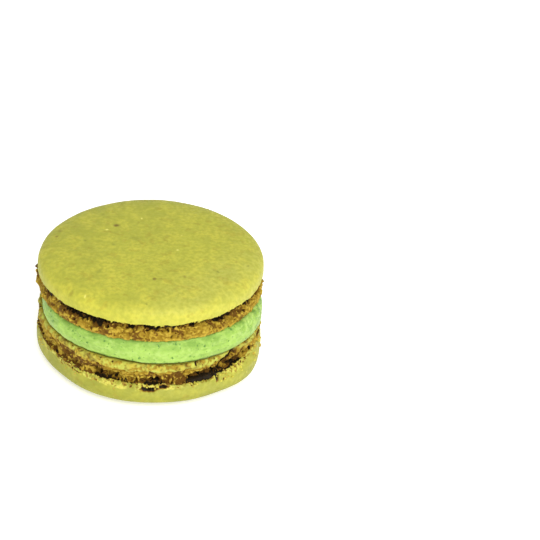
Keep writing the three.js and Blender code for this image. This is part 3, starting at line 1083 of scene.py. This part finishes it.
def foot_material(name, lip):
    """Crumb of a foot: golden, baked reddish brown in patches and towards the crevice, with painted
    shade in its hollows and on the shelf beside the cream, and pale at the lip."""
    c = bpy.context.scene.macaron_colours
    m = Finish(name, c.crumb_pale)
    baked, fine = m.mottle(0.0036, 4.0, 3.4), m.mottle(0.0007, 4.0, 2.6)
    # depth is the painted shade of the hollows with fine noise: browner crumb, then reddish brown, then
    # near black as it grows.
    depth = m.plus(m.mask("hollow"), m.stretch(fine, 0.0, 1.0, -0.15, 0.15))
    m.lay(c.crumb, depth, 0.05, 0.4)
    rust = m.plus(depth, m.stretch(baked, 0.15, 0.85, -0.34, 0.32))
    rust = m.plus(rust, m.stretch(m.mask("band"), 0.15, 0.7, 0.18, -0.12))
    m.lay(c.rust, rust, 0.3, 0.62)
    on_lip = m.times(m.mask("lip"), m.stretch(depth, 0.35, 0.8, 1.0, 0.1))
    blotchy = m.stretch(m.mottle(0.0013, 3.0, 3.2), 0.3, 0.8, 1.0, 0.1)
    streaky = m.times(m.stretch(baked, 0.3, 0.85, 1.0, 0.35), blotchy)
    m.cover(lip, m.times(on_lip, streaky))
    # Painted shade on the shelf beside the cream, under the upper shell.
    ledge_shade = m.mixed(m.stretch(baked, 0.2, 0.9), c.ledge_shade, c.skin_dull_and_shade)
    m.cover(ledge_shade, m.times(m.mask("shelf"), 0.9))
    m.lay(c.hollow, depth, 0.55, 0.95)
    rough = m.stretch(fine, 0.0, 1.0, 0.85, 0.7)
    return m.finish(rough, 0.15, (0.04, (1.0, 0.6, 0.2), 0.0004), (0.00035, 0.15, 0.00012))


def crumb_material():
    """Loose crumbs: pale yellow to golden, one tone each."""
    c = bpy.context.scene.macaron_colours
    m = Finish("loose_crumb", c.skin_pale)
    m.lay(c.crumb_pale, m.mask("tone"), 0.3, 0.8)
    m.lay(c.crumb, m.mottle(0.0004, 2.0, 2.0), 0.3, 1.0, 0.0, 0.5)
    return m.finish(0.75, 0.5, grain=(0.0003, 0.5, 0.00006))


def cream_material():
    """Green cream: soft, a little moist, with painted light where it stands proud and in patches on the
    dragged right, painted shade in its dips and along its top, dark green flecks of nut, and a painted
    shadow where it meets the lower lip.
    """
    c = bpy.context.scene.macaron_colours
    m = Finish("green_cream", c.cream)
    broad, fine = m.mottle(0.0035, 3.0, 2.4), m.mottle(0.0009, 3.0, 2.2)
    pale = tuple(min(1.0, v * f) for v, f in zip(c.cream, (1.2, 1.1, 1.5)))
    m.lay(c.cream_deep_and_shade, broad, 0.1, 0.9, 0.4, 0.0)
    m.lay(pale, fine, 0.4, 1.0, 0.0, 0.7)
    m.lay(c.cream_deep_and_shade, fine, 0.45, 0.0, 0.0, 0.45)
    hollow, height, dragged = m.mask("hollow"), m.mask("height"), m.mask("dragged")
    # Painted light on the bumps and painted shade in the dips.
    m.lay(pale, hollow, 0.4, 0.1, 0.0, 0.6)
    m.lay(c.cream_deep_and_shade, hollow, 0.6, 1.0, 0.0, 0.7)
    # Painted shade in streaks along the top, under the upper shell, fewer where the cream is dragged.
    long = m.vector("MULTIPLY", {0: m.place, 1: (0.5, 0.5, 1.0)})
    streak = m.stretch(m.mottle(0.0011, 3.0, 3.4, Vector=long), 0.0, 1.0, 0.15, 0.95)
    top = m.plus(height, m.stretch(broad, 0.0, 1.0, 0.08, -0.08))
    shade = m.times(m.stretch(top, 0.5, 0.9), streak)
    m.cover(c.cream_deep_and_shade, m.times(shade, m.stretch(dragged, 0.0, 1.0, 1.0, 0.35)))
    # Painted light in pale patches where the cream is dragged, with flecks of nut among them.
    patch = m.mottle(0.0012, 3.0, 3.0)
    m.cover(pale, m.times(dragged, m.stretch(patch, 0.5, 0.2, 0.0, 0.9)))
    m.cover(c.cream_fleck, m.times(dragged, m.stretch(patch, 0.5, 0.9, 0.0, 0.45)))
    # Painted shadow along the bottom, where the cream meets the lower lip.
    m.lay(c.cream_contact_shadow, height, 0.17, 0.06, 0.0, 0.95)
    large, small = m.specks(0.0015, 0.0003, 0.75), m.specks(0.0008, 0.00017, 0.7)
    m.cover(c.cream_fleck, m.maths("MAXIMUM", m.times(large, 0.85), m.times(small, 0.65)))
    rough = m.stretch(broad, 0.0, 1.0, 0.45, 0.62)
    return m.finish(rough, 0.35, (0.15, (0.7, 1.0, 0.4), 0.0008), (0.0005, 0.5, 0.00007))


def floor_material():
    """Plain pale board, with only a trace of grain."""
    stage = bpy.context.scene.macaron_stage
    m = Finish("pale_floor", stage.floor)
    m.lay((0.8, 0.8, 0.8), m.mottle(0.02, 2.0, 1.0), 0.0, 1.0, 0.0, 0.03)
    m.shader["Emission Color"].default_value = (1.0, 1.0, 1.0, 1.0)
    m.shader["Emission Strength"].default_value = stage.glow
    return m.finish(0.9, 0.1)


# Operators.


class MACARON_OT_skins(bpy.types.Operator):
    """Makes the baked skins of both shells"""

    bl_idname = "macaron.skins"
    bl_label = "Shell skins"

    def execute(self, context):
        # The lower skin gets painted shade all over, the upper one none.
        for name, shell, shadowed in (("lower", lower_shell(), 0.7), ("upper", upper_shell(), 0.0)):
            grid, masks = skin_grid(shell)
            piece = closed_mesh(f"{name}_skin", placed(shell, grid), masks, shell.upside_down)
            declare(piece, f"{name}_shell", skin_material(f"{name}_skin", shadowed))
        return {"FINISHED"}


class MACARON_OT_feet(bpy.types.Operator):
    """Makes the ruffled feet of both shells"""

    bl_idname = "macaron.feet"
    bl_label = "Ruffled feet"

    def execute(self, context):
        c = context.scene.macaron_colours
        finishes = {
            "lower": foot_material("lower_foot_crumb", c.lower_lip),
            "upper": foot_material("upper_foot_crumb", c.upper_lip),
        }
        for name, shell in (("lower", lower_shell()), ("upper", upper_shell())):
            grid, masks = foot_grid(shell)
            piece = closed_mesh(f"{name}_foot", placed(shell, grid), masks, shell.upside_down)
            declare(piece, f"{name}_shell", finishes[name])
        return {"FINISHED"}


class MACARON_OT_cream(bpy.types.Operator):
    """Makes the band of cream"""

    bl_idname = "macaron.cream"
    bl_label = "Cream"

    def execute(self, context):
        grid, masks = cream_grid()
        piece = closed_mesh("cream", grid, masks)
        declare(piece, "cream_filling", cream_material())
        return {"FINISHED"}


class MACARON_OT_crumbs(bpy.types.Operator):
    """Strews loose crumbs on the torn edges of the skins"""

    bl_idname = "macaron.crumbs"
    bl_label = "Loose crumbs"

    def execute(self, context):
        material = crumb_material()
        for name, shell in (("lower", lower_shell()), ("upper", upper_shell())):
            count = CRUMBS[name]
            skin, masks = skin_grid(shell)
            torn = np.flatnonzero(masks["torn"].max(axis=1) > 0.35)
            centres = placed(shell, crumb_places(shell, skin, torn[:-4], count, shell.seed))
            draws = np.random.default_rng(shell.seed).uniform(0, 1, count)
            radii = LEAST_CRUMB + CRUMB_SPREAD * draws**2
            piece = strewn_crumbs(f"{name}_crumbs", centres, radii, shell.seed % 1000)
            declare(piece, f"{name}_shell", material)
        return {"FINISHED"}


class MACARON_OT_stage(bpy.types.Operator):
    """Makes the pale floor, the soft light and the camera"""

    bl_idname = "macaron.stage"
    bl_label = "Stage"

    def execute(self, context):
        scene = context.scene
        settings = scene.macaron_stage
        scene.view_settings.view_transform = "Standard"
        floor = around(np.array(FLOOR_RINGS), np.zeros(len(FLOOR_RINGS)), all_round(FLOOR_COLUMNS))
        index, _, quads = ring_faces(len(FLOOR_RINGS), FLOOR_COLUMNS)
        mesh = bpy.data.meshes.new("floor")
        mesh.from_pydata(floor.reshape(-1, 3), [], quads.tolist() + [index[0].tolist()])
        mesh.materials.append(floor_material())
        show("floor", mesh)

        world = bpy.data.worlds.new("even_sky")
        world.use_nodes = True
        sky = world.node_tree.nodes["Background"]
        sky.inputs[0].default_value = (1.0, 1.0, 1.0, 1.0)
        sky.inputs[1].default_value = settings.sky
        scene.world = world

        light = bpy.data.lights.new("key_light", "AREA")
        light.shape = "DISK"
        light.size = KEY_SIZE
        light.color = KEY_COLOUR
        light.energy = settings.key
        key = bpy.data.objects.new("key_light", light)
        key.location = KEY_PLACE
        key.rotation_mode = "QUATERNION"
        key.rotation_quaternion = (Vector((0, 0, 0.012)) - key.location).to_track_quat("-Z", "Y")
        scene.collection.objects.link(key)
        scene.camera = make_camera()
        return {"FINISHED"}


def make_camera():
    """A camera 450 mm from the macaron's middle and 32.4 degrees above the floor, rolled by 3.4
    degrees. Its focal length is in pixels. It is turned so that the middle is at its place in the
    picture."""
    distance, elevation, roll, focal = 0.45, math.radians(32.4), math.radians(3.4), 2245.0
    middle = Vector((0, 0, 0.0138))
    back = Vector((0, -math.cos(elevation), math.sin(elevation)))
    right = Vector((1, 0, 0))
    look = Matrix((right, back.cross(right), back)).transposed()
    across, down = (place - PICTURE / 2 for place in PLACE_IN_PICTURE)
    aim = Vector((across, -down, -focal)).normalized()
    swing = aim.rotation_difference(Vector((0, 0, -1))).to_matrix()
    turn = look @ Matrix.Rotation(roll, 3, "Z") @ swing
    lens = bpy.data.cameras.new("camera")
    lens.sensor_width = 36
    lens.lens = focal / PICTURE * lens.sensor_width
    lens.clip_start, lens.clip_end = 0.01, 10
    camera = bpy.data.objects.new("camera", lens)
    camera.matrix_world = Matrix.Translation(middle + distance * back) @ turn.to_4x4()
    bpy.context.scene.collection.objects.link(camera)
    return camera


class MACARON_PT_panel(bpy.types.Panel):
    """Lists what can be made, and the sizes and colours"""

    bl_idname = "MACARON_PT_panel"
    bl_label = "Macaron"
    bl_space_type = "VIEW_3D"
    bl_region_type = "UI"
    bl_category = "Macaron"

    def draw(self, context):
        layout = self.layout
        for operator in OPERATORS:
            layout.operator(operator.bl_idname)
        for key in SETTINGS:
            box = layout.box()
            group = getattr(context.scene, key)
            for name in group.__annotations__:
                box.prop(group, name)


OPERATORS = (
    MACARON_OT_stage,
    MACARON_OT_skins,
    MACARON_OT_feet,
    MACARON_OT_cream,
    MACARON_OT_crumbs,
)
SETTINGS = {
    "lower_shell": LowerShellSizes,
    "upper_shell": UpperShellSizes,
    "cream": CreamSizes,
    "macaron_colours": MacaronColours,
    "macaron_stage": StageSettings,
}


def register():
    for cls in (*SETTINGS.values(), *OPERATORS, MACARON_PT_panel):
        bpy.utils.register_class(cls)
    for key, cls in SETTINGS.items():
        setattr(bpy.types.Scene, key, bpy.props.PointerProperty(type=cls))


def unregister():
    for key in SETTINGS:
        delattr(bpy.types.Scene, key)
    for cls in (MACARON_PT_panel, *reversed(OPERATORS), *SETTINGS.values()):
        bpy.utils.unregister_class(cls)


def main():
    """Makes the macaron and its stage."""
    register()
    bpy.ops.macaron.stage()
    bpy.ops.macaron.skins()
    bpy.ops.macaron.feet()
    bpy.ops.macaron.cream()
    bpy.ops.macaron.crumbs()


if __name__ == "__main__":
    main()
